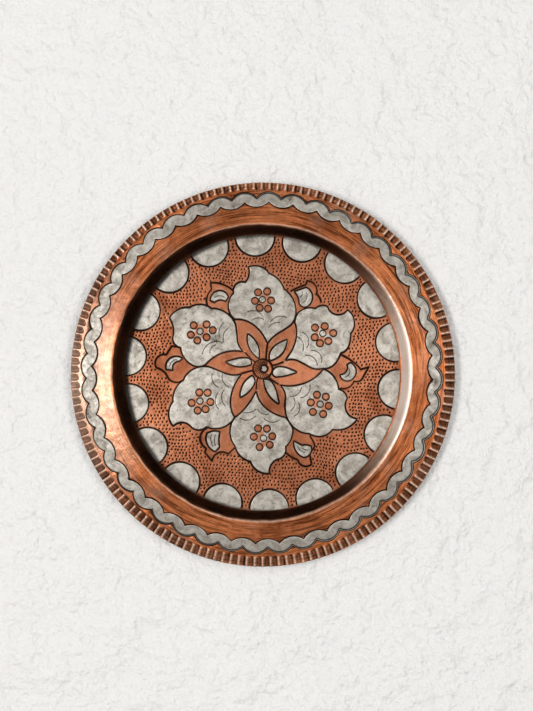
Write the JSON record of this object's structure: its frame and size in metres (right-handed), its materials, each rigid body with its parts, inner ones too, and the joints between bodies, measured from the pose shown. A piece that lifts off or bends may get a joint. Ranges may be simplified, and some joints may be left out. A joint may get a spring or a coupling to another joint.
{
  "type": "wall tray",
  "caption": "Round copper wall tray with a flat well, fluted sloping rim, chased and tinned flowers, a scalloped tin chain and a swinging D-ring hanger behind.",
  "frame": {"origin": "on the underside of the floor, below the centre of the outer rim", "axes": "tray lying face up: +Z out of the decorated face, +Y towards the top as it hangs, +X to the right as seen from the front"},
  "size_m": [0.25, 0.25, 0.0155],
  "materials": {
    "copper": "satin, hand hammered, slightly tarnished copper",
    "tinning": "dull wiped tin with dark specks",
    "solder": "dull grey soft solder",
    "hanger_wire": "drawn brass wire, dulled"
  },
  "bodies": {
    "tray": {"dish": "copper", "tin_chain": "tinning", "tin_moon_01": "tinning", "tin_moon_02": "tinning", "tin_moon_03": "tinning", "tin_moon_04": "tinning", "tin_moon_05": "tinning", "tin_moon_06": "tinning", "tin_moon_07": "tinning", "tin_moon_08": "tinning", "tin_moon_09": "tinning", "tin_moon_10": "tinning", "tin_moon_11": "tinning", "tin_moon_12": "tinning", "tin_moon_13": "tinning", "tin_moon_14": "tinning", "tin_moon_15": "tinning", "tin_moon_16": "tinning", "tin_moon_17": "tinning", "tin_moon_18": "tinning", "tin_blossom_1": "tinning", "tin_blossom_2": "tinning", "tin_blossom_3": "tinning", "tin_blossom_4": "tinning", "tin_blossom_5": "tinning", "tin_blossom_6": "tinning", "tin_leaf_1": "tinning", "tin_leaf_2": "tinning", "tin_leaf_3": "tinning", "tin_leaf_4": "tinning", "tin_leaf_5": "tinning", "tin_leaf_6": "tinning", "tin_bud_1": "tinning", "tin_bud_2": "tinning", "tin_bud_3": "tinning", "tin_bud_4": "tinning", "tin_bud_5": "tinning", "tin_bud_6": "tinning", "tin_boss": "tinning", "hanger_solder": "solder", "hanger_lug": "copper"},
    "ring": {"hanger_ring": "hanger_wire"}
  },
  "joints": [
    {"name": "ring_swing", "type": "hinge", "parent": "tray", "child": "ring", "pos_m": [-0.0005, 0.1062, 0.007], "axis": [-1, 0, 0], "range_deg": [-5, 152]}
  ]
}
